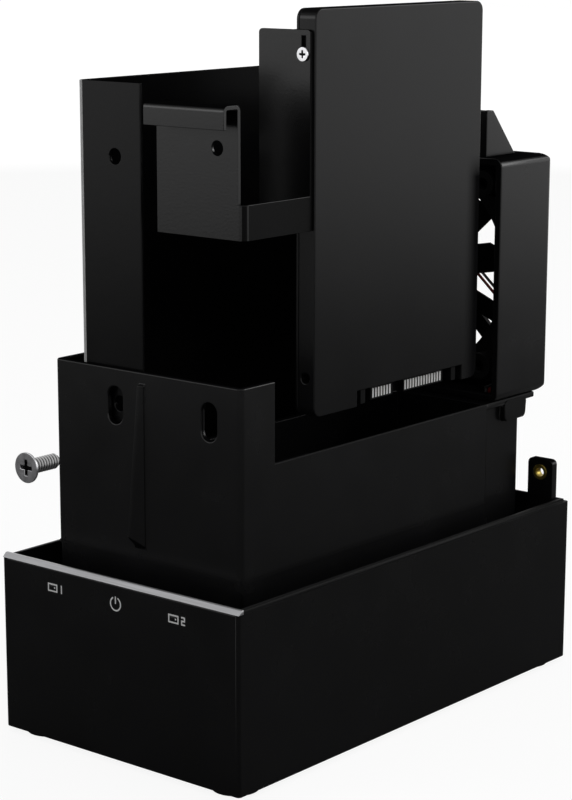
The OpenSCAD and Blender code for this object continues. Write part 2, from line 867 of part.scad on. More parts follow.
module drive_shell() {
  color("DimGray") difference() {
    slab_x(drive_x0 + drive_base_t, drive_x1, drive_y0, drive_y1, drive_z0, drive_z0 + drive_h, drive_r);
    block(drive_x0, drive_x1 - drive_wall, drive_y0 + drive_end_wall, drive_y1 - drive_end_wall,
      drive_z0 + drive_foot_wall, drive_z0 + drive_h - drive_wall);
    block(drive_x0, drive_x1 + over, drive_y0 + conn_y0, drive_y0 + conn_y1,
      drive_z0 - over, drive_z0 + conn_h);
    for (z = [drive_hole_lo, drive_hole_hi]) {
      rod_y(drive_hole_x, drive_z0 + z, drive_y0 - over, drive_y0 + drive_hole_l, drive_screw_d + 2*fit);
      rod_y(drive_hole_x, drive_z0 + z, drive_y1 - drive_hole_l, drive_y1 + over, drive_screw_d + 2*fit);
    }
  }
}

module drive_base() {
  color("Gray") slab_x(drive_x0, drive_x0 + drive_base_t, drive_y0, drive_y1, drive_z0,
    drive_z0 + drive_h, drive_r);
}

module drive_board() {
  color("DarkGreen") block(drive_x0 + drive_base_t, drive_x0 + drive_base_t + 1, drive_y0 + drive_end_wall + 1,
    drive_y1 - drive_end_wall - 1, drive_z0 + drive_foot_wall + gap,
    drive_z0 + drive_board_top);
}

// one part of the drive's connector, from its back plate out to x1
module conn_part(x1, y0, y1) {
  block(drive_x0 + drive_base_t, x1, drive_y0 + y0, drive_y0 + y1, drive_z0 + conn_z, drive_z0 + conn_h);
}

module drive_connector() {
  color("Black") {
    conn_part(drive_x0 + drive_base_t + conn_back_t, conn_y0, conn_y1);
    conn_part(drive_x1 - conn_tab_in, conn_y0 + conn_tab_w, conn_y0 + 2*conn_tab_w);
    conn_part(drive_x1 - conn_tab_in, conn_y1 - 2*conn_tab_w, conn_y1 - conn_tab_w);
    conn_part(drive_x1 - conn_face_in, sig_y0, sig_y1);
    conn_part(drive_x1 - conn_face_in, pow_y0, pow_y1);
  }
}

module pin_row(y0, n) {
  for (i = [0 : n - 1])
    translate([drive_x1 - conn_face_in, drive_y0 + y0 + i*pin_pitch, drive_z0 + pin_z])
      cube([pin_t, pin_w, pin_h]);
}

module drive_contacts() {
  color("White") {
    pin_row(sig_y0 + pin_w, sig_n);
    pin_row(pow_y0 + pin_w/2, pow_n);
  }
}

module drive_screws() {
  color("White") translate([drive_hole_x, 0, drive_z0 + drive_hole_hi]) {
    difference() {
      rod_y(0, 0, drive_y0 - sheet_t - drive_head_t, drive_y0 - sheet_t, drive_head_d);
      for (a = [0, 90])
        rotate([0, a, 0]) block(-cross_l/2, cross_l/2, drive_y0 - sheet_t - drive_head_t - e,
          drive_y0 - sheet_t - drive_head_t/2, -cross_w/2, cross_w/2);
    }
    rod_y(0, 0, drive_y0 - sheet_t, drive_y0 + drive_screw_l, drive_screw_d);
    rod_y(0, 0, drive_y1 + sheet_t, drive_y1 + sheet_t + drive_head_t, drive_head_d);
    rod_y(0, 0, drive_y1 - drive_screw_l, drive_y1 + sheet_t, drive_screw_d);
  }
}

module fixing_screw() {
  color("Silver") translate([slot_right_x, fix_y0, fix_z]) rotate([-90, 0, 0]) difference() {
    union() {
      cylinder(d = fix_head_d, h = fix_edge);
      translate([0, 0, fix_edge]) cylinder(d1 = fix_head_d, d2 = screw_d, h = fix_cone);
      cylinder(d = screw_d, h = fix_len - fix_tip);
      translate([0, 0, fix_len - fix_tip]) cylinder(d1 = screw_d, d2 = screw_d - 2*fix_tip, h = fix_tip);
    }
    for (a = [0, 90])
      rotate([0, 0, a]) translate([-recess_d/2, -recess_w/2, -e]) cube([recess_d, recess_w, recess_deep]);
  }
}

// outer form of the fan housing with its rear edges rounded
module shroud_form() {
  intersection() {
    slab_y(-shroud_x, shroud_x, shroud_y0, shroud_y1, shroud_z0, shroud_z1, shroud_r);
    slab_x(-shroud_x, shroud_x, shroud_y0 - 2*shroud_r, shroud_y1, shroud_z0, shroud_z1, shroud_back_r);
    pillar_block(-shroud_x, shroud_x, shroud_y0 - 2*shroud_r, shroud_y1, shroud_z0, shroud_z1, shroud_r);
  }
}

// round air outlet with a middle disc on four spokes
module rear_outlet() {
  difference() {
    rod_y(0, fan_cz, shroud_y1 - shroud_wall - over, shroud_y1 + over, open_d);
    rod_y(0, fan_cz, shroud_y1 - shroud_wall - 2*over, shroud_y1 + 2*over, guard_d);
    for (a = [0, 90])
      translate([0, 0, fan_cz]) rotate([0, a, 0])
        block(-open_d, open_d, shroud_y1 - shroud_wall - 2*over, shroud_y1 + 2*over, -spoke_w/2, spoke_w/2);
  }
}

module fan_housing() {
  color("DimGray") difference() {
    union() {
      difference() {
        shroud_form();
        block(-shroud_x + shroud_wall, shroud_x - shroud_wall, shroud_y0 - over, shroud_y1 - shroud_wall,
          shroud_z0 + shroud_wall, shroud_z1 - shroud_wall);
      }
      at_fan_corners() rod_y(0, 0, fan_y1, shroud_y1 - over, fan_boss_d);
    }
    rear_outlet();
    rod_z(lead_x, lead_y, shroud_z0 - over, shroud_z0 + shroud_wall + over, lead_hole_d);
    at_fan_corners() rod_y(0, 0, fan_y1 - e, shroud_y1 + over, fan_hole_d);
  }
}

module fan_frame() {
  color("Black") difference() {
    union() {
      slab_y(-fan_size/2, fan_size/2, duct_y0, fan_y1, fan_cz - fan_size/2, fan_cz + fan_size/2, fan_r);
      at_fan_corners() rod_y(0, 0, fan_y0, fan_y1, post_d);
    }
    rod_y(0, fan_cz, duct_y0 - over, fan_y1 + over, duct_d);
    at_fan_corners() rod_y(0, 0, fan_y0 - over, fan_y1 + over, fan_hole_d);
    block(lead_notch_x - lead_d/2 - gap, fan_size/2 + over, duct_y0 - over, fan_y1 + over,
      lead_notch_z - lead_side - lead_d/2 - gap, lead_notch_z + lead_side + lead_d/2 + gap);
  }
}

module fan_motor() {
  color("Black") difference() {
    union() {
      rod_y(0, fan_cz, fan_y1 - motor_t, fan_y1, motor_d);
      rod_y(0, fan_cz, fan_y1 - hub_t + 0.6, fan_y1 - motor_t + e, core_d);
      for (a = [45 : 90 : 315])
        translate([0, 0, fan_cz]) rotate([0, a, 0])
          block(0, duct_d/2, fan_y1 - strut_t, fan_y1, -strut_w/2, strut_w/2);
    }
    rod_y(0, fan_cz, fan_y1 - hub_t, fan_y1 - 0.8, axle_d + 2*fit);
  }
}

module fan_blade() {
  translate([hub_d/2 - hub_wall, 0, 0]) rotate([blade_tilt, 0, 0])
    translate([0, -blade_t/2, -blade_l/2]) cube([duct_d/2, blade_t, blade_l]);
}

module fan_rotor() {
  color("DimGray") {
    difference() {
      rod_y(0, fan_cz, hub_front, hub_front + hub_t, hub_d);
      rod_y(0, fan_cz, hub_front + hub_wall, fan_y1, hub_d - 2*hub_wall);
    }
    rod_y(0, fan_cz, hub_front + over, fan_y1 - axle_in, axle_d);
    intersection() {
      difference() {
        rod_y(0, fan_cz, fan_y0, fan_y1 - strut_t, duct_d - 2*blade_gap);
        rod_y(0, fan_cz, fan_y0 - over, fan_y1, hub_d - hub_wall);
      }
      translate([0, hub_front + hub_t/2, fan_cz])
        for (i = [0 : blades - 1])
          rotate([0, blade_turn + i*360/blades, 0]) fan_blade();
    }
  }
}

module fan_screws() {
  color("Silver") at_fan_corners() {
    rod_y(0, 0, fan_y1 - fan_grip, shroud_y1, fan_hole_d - 2*fit);
    rod_y(0, 0, shroud_y1, shroud_y1 + fan_head_t, fan_head_d);
  }
}

// one fan lead; s is its place beside the other one
module lead(s) {
  back_y = lead_back_y;
  down_x = lead_notch_x + 0.5;
  in_y = lead_y - s;
  wire([lead_start_x, fan_y1, lead_start_z + s], [lead_start_x, back_y, lead_start_z + s], lead_d);
  wire([lead_start_x, back_y, lead_start_z + s], [lead_notch_x, back_y, lead_notch_z + s], lead_d);
  wire([lead_notch_x, back_y, lead_notch_z + s], [lead_notch_x, in_y, lead_notch_z + s], lead_d);
  wire([lead_notch_x, in_y, lead_notch_z + s], [down_x, in_y, lead_notch_z - lead_drop], lead_d);
  wire([down_x, in_y, lead_notch_z - lead_drop], [down_x, in_y, lead_turn_z], lead_d);
  wire([down_x, in_y, lead_turn_z], [lead_x, in_y, lead_low_z], lead_d);
  rod_z(lead_x, in_y, plug_z, lead_low_z, lead_d);
}

module fan_lead_red() {
  color("Red") lead(-lead_side);
}

module fan_lead_black() {
  color("Black") lead(lead_side);
}

module lead_plug() {
  color("White") block(lead_x - plug_w/2, lead_x + plug_w/2, lead_y - plug_l/2, lead_y + plug_l/2,
    board_top, plug_z);
}

module top_plate() {
  y0 = shroud_y0 + top_plate_in;
  color("DimGray") {
    block(-top_plate_x, top_plate_x, y0, y0 + top_plate_t, shroud_z1, shroud_z1 + top_plate_h);
    for (x = [-top_plate_x, top_plate_x - top_plate_t])
      translate([x, y0, shroud_z1]) rotate([90, 0, 90]) linear_extrude(top_plate_t)
        polygon([[0, 0], [gusset_l, 0], [gusset_top, top_plate_h], [0, top_plate_h]]);
  }
}

module placed() {
  translate([0, whole_y, 0]) children();
}

placed() base_case();
placed() front_trim();
placed() feet();
placed() mark_left();
placed() mark_power();
placed() mark_right();
placed() main_board();
placed() board_screws();
placed() board_chips();
placed() dock_sockets();
placed() dock_contacts();
placed() dc_jack();
placed() jack_pin();
placed() usb_port();
placed() usb_tongue();
placed() switch_body();
placed() power_button();
placed() rear_tab();
placed() brass_insert();
placed() tab_screw();
placed() drive_cradle();
placed() cradle_screws();
placed() drive_tray();
placed() adapter_bracket();
placed() drive_shell();
placed() drive_base();
placed() drive_board();
placed() drive_connector();
placed() drive_contacts();
placed() drive_screws();
placed() fixing_screw();
placed() fan_housing();
placed() fan_frame();
placed() fan_motor();
placed() fan_rotor();
placed() fan_screws();
placed() fan_lead_red();
placed() fan_lead_black();
placed() lead_plug();
placed() top_plate();
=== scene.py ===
"""Looks of the two-bay drive enclosure: finishes, soft edges, threads, contacts and the studio round it."""

import json
import math

import bmesh
import bpy
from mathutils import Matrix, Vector

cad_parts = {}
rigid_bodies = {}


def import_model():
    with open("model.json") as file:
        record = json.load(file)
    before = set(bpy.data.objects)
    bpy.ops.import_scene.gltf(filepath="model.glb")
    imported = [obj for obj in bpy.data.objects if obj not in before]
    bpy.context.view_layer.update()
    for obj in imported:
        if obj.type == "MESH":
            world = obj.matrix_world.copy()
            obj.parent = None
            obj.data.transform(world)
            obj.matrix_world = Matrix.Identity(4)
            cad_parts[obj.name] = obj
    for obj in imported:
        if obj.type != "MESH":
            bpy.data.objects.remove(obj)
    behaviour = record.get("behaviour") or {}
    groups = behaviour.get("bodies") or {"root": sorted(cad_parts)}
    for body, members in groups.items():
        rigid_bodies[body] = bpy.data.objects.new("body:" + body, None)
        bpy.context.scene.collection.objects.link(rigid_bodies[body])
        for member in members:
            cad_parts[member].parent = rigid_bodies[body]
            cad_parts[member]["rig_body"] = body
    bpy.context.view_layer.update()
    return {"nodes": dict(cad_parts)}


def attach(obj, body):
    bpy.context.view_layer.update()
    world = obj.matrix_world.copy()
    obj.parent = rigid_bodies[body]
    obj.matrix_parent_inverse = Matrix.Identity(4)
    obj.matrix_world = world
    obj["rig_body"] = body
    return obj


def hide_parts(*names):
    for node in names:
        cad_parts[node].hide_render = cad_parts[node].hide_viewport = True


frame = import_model()
NODES = frame["nodes"]

# units in metres, the open end of a box in mm, full white, and the faint shine of dull materials
MM = 0.001
MICRON = 0.000001
FAR = 1000
WHITE = (1, 1, 1, 1)
DULL = 0.06

# picture and camera: sizes in pixels, angles in degrees, place in metres
PHOTO_W, PHOTO_H = 572, 800
FOCAL, CENTRE_X, CENTRE_Y = 2291.5, 265.12, 431.22
CAMERA_TURN, CAMERA_PITCH = 40.007, 12.70
CAMERA_PLACE = (0.37715, -0.43967, 0.20851)
SENSOR = 36
NEAREST = 0.01

# world, floor and lamps: each soft box by its name, place, width, height and brightness
WORLD_FILL = 0.3
FLOOR_REACH = 4.0
FLOOR_SHARE, FLOOR_WHITE, FLOOR_PAPER = 0.85, 1.06, 0.9
# painted shade on the floor round the object, for all but camera rays: distances in metres, and its tone
FLOOR_DARK_TO, FLOOR_BRIGHT_FROM, FLOOR_SHADE_TONE = 0.5, 1.6, 0.14
LAMP_AIM = (0, 0.02, 0.1)
SOFT_BOXES = (("rear_box", (0.68, 0.91, 0.52), 0.55, 0.5, 5.0),
              ("top_box", (0.1, 0.0, 1.05), 0.6, 0.6, 1.5),
              ("front_box", (-0.67, -0.91, 0.52), 0.5, 0.5, 2.2))

# angles in degrees from which edges are rounded and break the shading, and below which they are flat
SHARP_FROM, BREAK_FROM, BREAK_TURNED, FLAT_BELOW = 28, 52, 40, 0.6

# steps of a rounding, and the distance within which two points are one
BEVEL_STEPS = 2
WELD = 2 * MICRON


# camera and studio
def photo_camera():
    """Camera at the photograph's place: focal length and principal point in its pixels."""
    lens = bpy.data.cameras.new("photo_camera")
    lens.sensor_width = SENSOR
    lens.lens = FOCAL * SENSOR / PHOTO_H
    lens.shift_x = (PHOTO_W / 2 - CENTRE_X) / PHOTO_H
    lens.shift_y = (CENTRE_Y - PHOTO_H / 2) / PHOTO_H
    lens.clip_start = NEAREST
    camera = bpy.data.objects.new("photo_camera", lens)
    camera.location = CAMERA_PLACE
    camera.rotation_euler = (math.pi / 2 - math.radians(CAMERA_PITCH), 0, math.radians(CAMERA_TURN))
    bpy.context.scene.collection.objects.link(camera)
    bpy.context.scene.camera = camera


def soft_box(name, place, wide, high, radiance):
    """Rectangular lamp of a given brightness, turned towards the object's middle."""
    lamp = bpy.data.lights.new(name, "AREA")
    lamp.shape = "RECTANGLE"
    lamp.size, lamp.size_y = wide, high
    lamp.energy = radiance * math.pi * wide * high
    box = bpy.data.objects.new(name, lamp)
    box.location = place
    box.rotation_euler = (Vector(LAMP_AIM) - Vector(place)).to_track_quat("-Z", "Y").to_euler()
    box.visible_camera = False
    bpy.context.scene.collection.objects.link(box)


def studio():
    """White world for the camera and for mirrors, a calmer one for the fill, soft boxes and a pale floor."""
    world = bpy.data.worlds.new("studio")
    bpy.context.scene.world = world
    world.use_nodes = True
    tree = Tree(world.node_tree)
    path = tree.add("LightPath")
    seen = tree.math("MAXIMUM", path.outputs["Is Camera Ray"], path.outputs["Is Glossy Ray"])
    seen = tree.math("MAXIMUM", seen, path.outputs["Is Transmission Ray"])
    level = tree.ranged(seen, {"To Min": WORLD_FILL, "To Max": 1.0})
    sky = tree.add("Background", {"Color": WHITE, "Strength": level})
    tree.link(sky.outputs[0], tree.add("OutputWorld").inputs["Surface"])
    for soft in SOFT_BOXES:
        soft_box(*soft)
    paper_floor()


def paper_floor():
    """Level sheet: pale to the camera; to other rays it has painted shade near the middle, round the object,
    and is as bright as the backdrop further out.
    """
    ground = bpy.data.meshes.new("floor")
    corners = [(-1, -1), (1, -1), (1, 1), (-1, 1)]
    ground.from_pydata([(x * FLOOR_REACH, y * FLOOR_REACH, 0) for x, y in corners], [], [(0, 1, 2, 3)])
    floor = bpy.data.objects.new("floor", ground)
    bpy.context.scene.collection.objects.link(floor)
    paper = bpy.data.materials.new("floor_paper")
    paper.use_nodes = True
    tree = Tree(paper.node_tree)
    seen = tree.add("LightPath").outputs["Is Camera Ray"]
    share = tree.math("MULTIPLY", seen, FLOOR_SHARE)
    place = tree.add("TexCoord").outputs["Object"]
    away = tree.add("VectorMath", {0: place}, operation="LENGTH").outputs["Value"]
    bright = tree.ranged(away, {"From Min": FLOOR_DARK_TO, "From Max": FLOOR_BRIGHT_FROM}, "SMOOTHSTEP")
    tone = tree.ranged(seen, {"To Min": FLOOR_SHADE_TONE, "To Max": FLOOR_PAPER})
    matte = tree.add("BsdfDiffuse", {"Color": tone})
    white = tree.add("Emission", {"Color": WHITE, "Strength": FLOOR_WHITE})
    both = tree.add("MixShader", {"Fac": tree.math("MAXIMUM", share, bright)})
    tree.link(matte.outputs[0], both.inputs[1])
    tree.link(white.outputs[0], both.inputs[2])
    tree.link(both.outputs[0], tree.add("OutputMaterial").inputs["Surface"])
    ground.materials.append(paper)
    return floor


# node trees
class Tree:
    """A shader or geometry tree that is cleared and then filled node by node."""

    def __init__(self, nodes, prefix="ShaderNode"):
        self.tree, self.prefix = nodes, prefix
        self.tree.nodes.clear()

    def add(self, kind, values=None, **settings):
        """A new node: values go to its inputs, sockets as links, and settings to the node itself."""
        node = self.tree.nodes.new(kind if "Node" in kind else self.prefix + kind)
        for key, value in settings.items():
            setattr(node, key, value)
        for key, value in (values or {}).items():
            if isinstance(value, bpy.types.NodeSocket):
                self.tree.links.new(value, node.inputs[key])
            else:
                node.inputs[key].default_value = value
        return node

    def link(self, start, end):
        """A link from an output to an input."""
        self.tree.links.new(start, end)

    def math(self, operation, a, b):
        """Result of a sum, product or the like of two values."""
        return self.add("ShaderNodeMath", {0: a, 1: b}, operation=operation).outputs[0]

    def ranged(self, value, ends, course="LINEAR"):
        """A value carried over from one range to another, both from 0 to 1 where no ends are given."""
        return self.add("MapRange", {"Value": value, **ends}, interpolation_type=course).outputs[0]


class Shape(Tree):
    """A Geometry Nodes tree with named inputs that ends in Realize Instances and Set Material."""

    def __init__(self, name, **inputs):
        self.group = bpy.data.node_groups.new(name, "GeometryNodeTree")
        super().__init__(self.group, "GeometryNode")
        for label, kind in {"Geometry": "Geometry", **inputs, "Material": "Material"}.items():
            self.group.interface.new_socket(label, in_out="INPUT", socket_type="NodeSocket" + kind)
        self.group.interface.new_socket("Geometry", in_out="OUTPUT", socket_type="NodeSocketGeometry")
        self.given = self.add("NodeGroupInput").outputs

    def finished(self, *shapes):
        """Joins the shapes, makes them real and gives them the material; returns the node group."""
        joined = self.add("JoinGeometry")
        for shape in shapes:
            self.link(shape, joined.inputs[0])
        real = self.add("RealizeInstances", {"Geometry": joined.outputs[0]}).outputs[0]
        clad = self.add("SetMaterial", {"Geometry": real, "Material": self.given["Material"]}).outputs[0]
        self.link(clad, self.add("NodeGroupOutput").inputs[0])
        return self.group


def grown(piece, group, **values):
    """Runs a Geometry Nodes tree on the piece, with its inputs set by name, and keeps the plain result."""
    step = piece.modifiers.new(group.name, "NODES")
    step.node_group = group
    for socket in group.interface.items_tree:
        if socket.in_out == "INPUT" and socket.name in values:
            step[socket.identifier] = values[socket.name]
    return baked(piece)


def ring_tree():
    """Copies of the piece it grows on, turned evenly round the Y axis, joined to a middle part."""
    tree = Shape("ring_of_copies", Count="Int", Turn="Float", Middle="Vector", Hub="Object")
    given = tree.given
    points = tree.add("MeshLine", {"Count": given["Count"], "Start Location": given["Middle"],
                                   "Offset": (0, 0, 0)})
    step = tree.math("DIVIDE", 2 * math.pi, given["Count"])
    turned_by = tree.math("MULTIPLY", tree.add("InputIndex").outputs[0], step)
    around = tree.add("ShaderNodeCombineXYZ", {"Y": tree.math("ADD", turned_by, given["Turn"])})
    copies = tree.add("InstanceOnPoints", {"Points": points.outputs[0], "Instance": given["Geometry"],
                                           "Rotation": around.outputs[0]})
    hub = tree.add("ObjectInfo", {"Object": given["Hub"]}, transform_space="ORIGINAL")
    return tree.finished(copies.outputs[0], hub.outputs["Geometry"])


def thread_tree(turn_steps=40, ridge_corners=4):
    """A helical ridge round the Y axis, added to the screw it grows on."""
    tree = Shape("screw_thread", Radius="Float", Depth="Float", Turns="Float", Length="Float",
                 Start="Vector")
    given = tree.given
    spiral = tree.add("CurveSpiral", {"Resolution": turn_steps, "Rotations": given["Turns"],
                                      "Start Radius": given["Radius"], "End Radius": given["Radius"],
                                      "Height": given["Length"]})
    upright = tree.add("SetCurveNormal", {"Curve": spiral.outputs[0]}, mode="Z_UP")
    ridge = tree.add("CurvePrimitiveCircle", {"Resolution": ridge_corners, "Radius": given["Depth"]},
                     mode="RADIUS")
    swept = tree.add("CurveToMesh", {"Curve": upright.outputs[0], "Profile Curve": ridge.outputs[0],
                                     "Fill Caps": True})
    placed = tree.add("Transform", {"Geometry": swept.outputs[0], "Translation": given["Start"],
                                    "Rotation": (-math.pi / 2, 0, 0)})
    return tree.finished(given["Geometry"], placed.outputs[0])


def copies_tree():
    """One copy of an object on every point of the mesh it grows on."""
    tree = Shape("copies_on_points", Copy="Object")
    source = tree.add("ObjectInfo", {"Object": tree.given["Copy"]}, transform_space="ORIGINAL")
    copies = tree.add("InstanceOnPoints", {"Points": tree.given["Geometry"],
                                           "Instance": source.outputs["Geometry"]})
    return tree.finished(copies.outputs[0])


# finishes
class Finish(Tree):
    """A material on Object coordinates: a principled shader with colour, roughness and relief."""

    def __init__(self, name):
        self.material = bpy.data.materials.new(name)
        self.material.use_nodes = True
        super().__init__(self.material.node_tree)
        self.place = self.add("TexCoord").outputs["Object"]
        self.shader = self.add("BsdfPrincipled")
        self.link(self.shader.outputs[0], self.add("OutputMaterial").inputs["Surface"])

    def noise(self, scale, detail=3.0, vector=None):
        """Even noise from 0 to 1 in Object coordinates, or in others that are given."""
        grain = {"Vector": vector or self.place, "Scale": scale, "Detail": detail}
        return self.add("TexNoise", grain).outputs[0]

    def colours(self, factor, low, high, start=0.3, end=0.7):
        """Base colour that runs from low to high while the factor goes from start to end."""
        ramp = self.add("ValToRGB", {"Fac": factor})
        for stop, place, colour in zip(ramp.color_ramp.elements, (start, end), (low, high)):
            stop.position, stop.color = place, (*colour, 1)
        self.link(ramp.outputs[0], self.shader.inputs["Base Color"])

    def roughness(self, factor, low, high):
        """Roughness that follows the factor from low to high."""
        self.link(self.ranged(factor, {"To Min": low, "To Max": high}), self.shader.inputs["Roughness"])

    def relief(self, height, depth, strength):
        """Fine bumps of a depth in metres."""
        bump = self.add("Bump", {"Height": height, "Distance": depth, "Strength": strength})
        self.link(bump.outputs[0], self.shader.inputs["Normal"])

    def shine(self, level, share=None, full_to=0.1, none_from=0.7):
        """Reflections of a level on upright faces, fading out as faces turn up: painted shade that keeps top
        faces dark.

        A share, from 0 to 1, lowers them further at some places, as painted shade.
        """
        upward = self.add("SeparateXYZ", {0: self.add("NewGeometry").outputs["True Normal"]}).outputs["Z"]
        shown = self.ranged(upward, {"From Min": full_to, "From Max": none_from, "To Min": level,
                                     "To Max": 0.0}, "SMOOTHSTEP")
        if share is not None:
            shown = self.math("MULTIPLY", shown, share)
        self.link(shown, self.shader.inputs["Specular IOR Level"])

    def set(self, **values):
        """Sets plain inputs of the shader, written with underscores, and returns the material."""
        for key, value in values.items():
            self.shader.inputs[key.replace("_", " ")].default_value = value
        return self.material


def grey(value, tint=1.0):
    """A neutral tone, its blue scaled by a tint."""
    return (value, value, value * tint)


def case_plastic():
    """Black moulded plastic with a fine spark texture."""
    made = Finish("case_plastic")
    made.colours(made.noise(35, 4), grey(0.0034, 1.05), grey(0.0048, 1.1))
    made.roughness(made.noise(90), 0.21, 0.31)
    made.relief(made.noise(2600, 2), 30 * MICRON, 0.5)
    made.shine(0.3)
    return made.material


def inner_plastic():
    """Dull black plastic of sockets, chips and the fan, also laid on other pieces as painted shade."""
    made = Finish("inner_black")
    made.colours(made.noise(60, 4), grey(0.003), grey(0.006, 1.05))
    made.roughness(made.noise(120), 0.5, 0.62)
    made.relief(made.noise(1500, 2), 30 * MICRON, 0.6)
    return made.set(Specular_IOR_Level=DULL)


def powder_coat(name, shine):
    """Dark powder coat on sheet steel: fine orange peel and small changes of tone."""
    made = Finish(name)
    made.colours(made.noise(22, 5), grey(0.0020, 1.06), grey(0.0034, 1.1))
    made.roughness(made.noise(140), 0.22, 0.28)
    made.relief(made.noise(1900, 3), 40 * MICRON, 0.4)
    made.shine(shine)
    return made.material


def drive_coat(edge=1.35, fade=5.6, high=147, low=141):
    """Satin dark coat of the slim drive, with painted shade beside the fan housing: no shine along its rear
    edge up to a height, in mm.
    """
    made = Finish("drive_coat")
    back = box_of("drive_shell")[1][1] - edge
    axes = made.add("SeparateXYZ", {0: made.place}).outputs
    # painted shade: the shine fades out towards the drive's rear edge and below a height
    along = made.ranged(axes["Y"], {"From Min": (back - fade) * MM, "From Max": back * MM}, "SMOOTHSTEP")
    below = made.ranged(axes["Z"], {"From Min": high * MM, "From Max": low * MM})
    made.colours(made.noise(16, 5), grey(0.0055, 1.04), grey(0.0075, 1.06))
    made.roughness(made.noise(70), 0.20, 0.27)
    made.relief(made.noise(3200, 2), 20 * MICRON, 0.3)
    made.shine(0.21, share=made.math("SUBTRACT", 1.0, made.math("MULTIPLY", along, below)))
    return made.material


def bright_edge(across=60):
    """Satin aluminium look of the front rim, brushed along the width: the grain is finer across it."""
    made = Finish("rim_silver")
    drawn = made.add("Mapping", {"Vector": made.place, "Scale": (1, across, across)}).outputs[0]
    grain = made.noise(60, 4, drawn)
    made.colours(grain, grey(0.30, 1.02), grey(0.40, 1.03))
    made.roughness(grain, 0.3, 0.42)
    made.relief(grain, 10 * MICRON, 0.4)
    return made.set(Metallic=0.85)


def plated_steel(name, dark, light, smooth):
    """Zinc plated steel with a mottled plating, no smoother than a given roughness."""
    made = Finish(name)
    made.colours(made.noise(400, 5), grey(dark, 1.02), grey(light, 1.03))
    made.roughness(made.noise(900), smooth, smooth + 0.16)
    made.relief(made.noise(2500, 2), 10 * MICRON, 0.5)
    return made.set(Metallic=1.0)


def brass():
    """Turned brass of the threaded insert."""
    made = Finish("insert_brass")
    made.colours(made.noise(500, 4), (0.22, 0.16, 0.03), (0.36, 0.27, 0.06))
    made.roughness(made.noise(900), 0.32, 0.46)
    made.relief(made.noise(2400), 10 * MICRON, 0.5)
    return made.set(Metallic=1.0)


def thread_steel_and_shade(middle, root, crest):
    """Turned steel with painted shade down in the thread: darker by the distance from the screw's axis."""
    made = Finish("thread_steel_and_shade")
    apart = made.add("VectorMath", {0: made.place, 1: middle}, operation="SUBTRACT").outputs[0]
    across = made.add("VectorMath", {0: apart, 1: (1, 0, 1)}, operation="MULTIPLY").outputs[0]
    away = made.add("VectorMath", {0: across}, operation="LENGTH").outputs["Value"]
    height = made.ranged(away, {"From Min": root * MM, "From Max": crest * MM})
    made.colours(height, grey(0.03), grey(0.5), start=0.1, end=0.95)
    made.roughness(made.noise(900), 0.26, 0.4)
    made.relief(made.noise(2500, 2), 10 * MICRON, 0.5)
    return made.set(Metallic=1.0)


def circuit_board():
    """Green solder mask: copper lines and pads show through as lighter bands."""
    made = Finish("board_green")
    lines = made.add("TexBrick", {"Vector": made.place, "Scale": 90.0, "Mortar Size": 0.03,
                                  "Color1": (0.006, 0.055, 0.02, 1), "Color2": (0.008, 0.07, 0.026, 1),
                                  "Mortar": (0.02, 0.16, 0.06, 1)}, offset=0.37, squash=0.6)
    made.link(lines.outputs["Color"], made.shader.inputs["Base Color"])
    made.roughness(made.noise(300), 0.28, 0.4)
    made.relief(lines.outputs["Fac"], 30 * MICRON, 0.6)
    return made.material


def painted_bend_highlight():
    """Light grey painted highlight on the bend of a sheet, where it catches the light."""
    made = Finish("painted_bend_highlight")
    made.colours(made.noise(300, 5), grey(0.40), grey(0.52))
    made.roughness(made.noise(600), 0.4, 0.55)
    made.relief(made.noise(1600, 3), 30 * MICRON, 0.5)
    return made.material


def contact_plate(name, low, high, rough, metal):
    """Fine plating of contacts, from its two tones, its range of roughness and how metallic it is."""
    made = Finish(name)
    made.colours(made.noise(700, 3), low, high)
    made.roughness(made.noise(900), *rough)
    made.relief(made.noise(3000, 2), 4 * MICRON, 0.4)
    return made.set(Metallic=metal)


def gold_plate():
    """Gold of the contacts in the sockets."""
    return contact_plate("contact_gold", (0.75, 0.52, 0.18), (0.9, 0.68, 0.3), rough=(0.18, 0.3), metal=1.0)


def pale_plate():
    """Plating of the drive's contacts, which read almost white in the light."""
    return contact_plate("pale_contact", (0.97, 0.96, 0.93), (1.0, 0.99, 0.97), rough=(0.3, 0.4), metal=0.1)


def rubber():
    """Soft black rubber of the feet."""
    made = Finish("foot_rubber")
    made.colours(made.noise(300, 4), grey(0.006), grey(0.012))
    made.roughness(made.noise(400), 0.7, 0.85)
    made.relief(made.noise(1800), 50 * MICRON, 0.6)
    return made.set(Specular_IOR_Level=DULL)


def print_ink():
    """Pad-printed light grey of the marks."""
    made = Finish("print_grey")
    made.colours(made.noise(900, 3), grey(0.80), grey(0.92))
    made.roughness(made.noise(900), 0.5, 0.6)
    made.relief(made.noise(2500), 10 * MICRON, 0.4)
    return made.material


def lead_skin(name, low, high):
    """Soft insulation of a fan lead."""
    made = Finish(name)
    made.colours(made.noise(500, 3), low, high)
    made.roughness(made.noise(700), 0.35, 0.48)
    made.relief(made.noise(1500), 20 * MICRON, 0.5)
    return made.material


def nylon():
    """Off-white nylon of the leads' plug."""
    made = Finish("plug_white")
    made.colours(made.noise(250, 3), (0.66, 0.64, 0.56), (0.74, 0.72, 0.65))
    made.roughness(made.noise(500), 0.4, 0.5)
    made.relief(made.noise(1500), 20 * MICRON, 0.5)
    return made.material


# pieces from the CAD shapes
def body_of(node):
    """Name of the body that a CAD node is on."""
    return NODES[node]["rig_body"]


def box_of(node):
    """Low and high corner of a CAD node's box, in mm."""
    points = [vertex.co for vertex in NODES[node].data.vertices]
    return [[round(end(point[i] for point in points) / MM, 4) for i in range(3)] for end in (min, max)]


def merged(node):
    """A CAD node's shape as one closed skin with flat faces joined."""
    form = bmesh.new()
    form.from_mesh(NODES[node].data)
    bmesh.ops.remove_doubles(form, verts=form.verts, dist=WELD)
    bmesh.ops.dissolve_limit(form, angle_limit=math.radians(FLAT_BELOW), verts=form.verts, edges=form.edges)
    return form


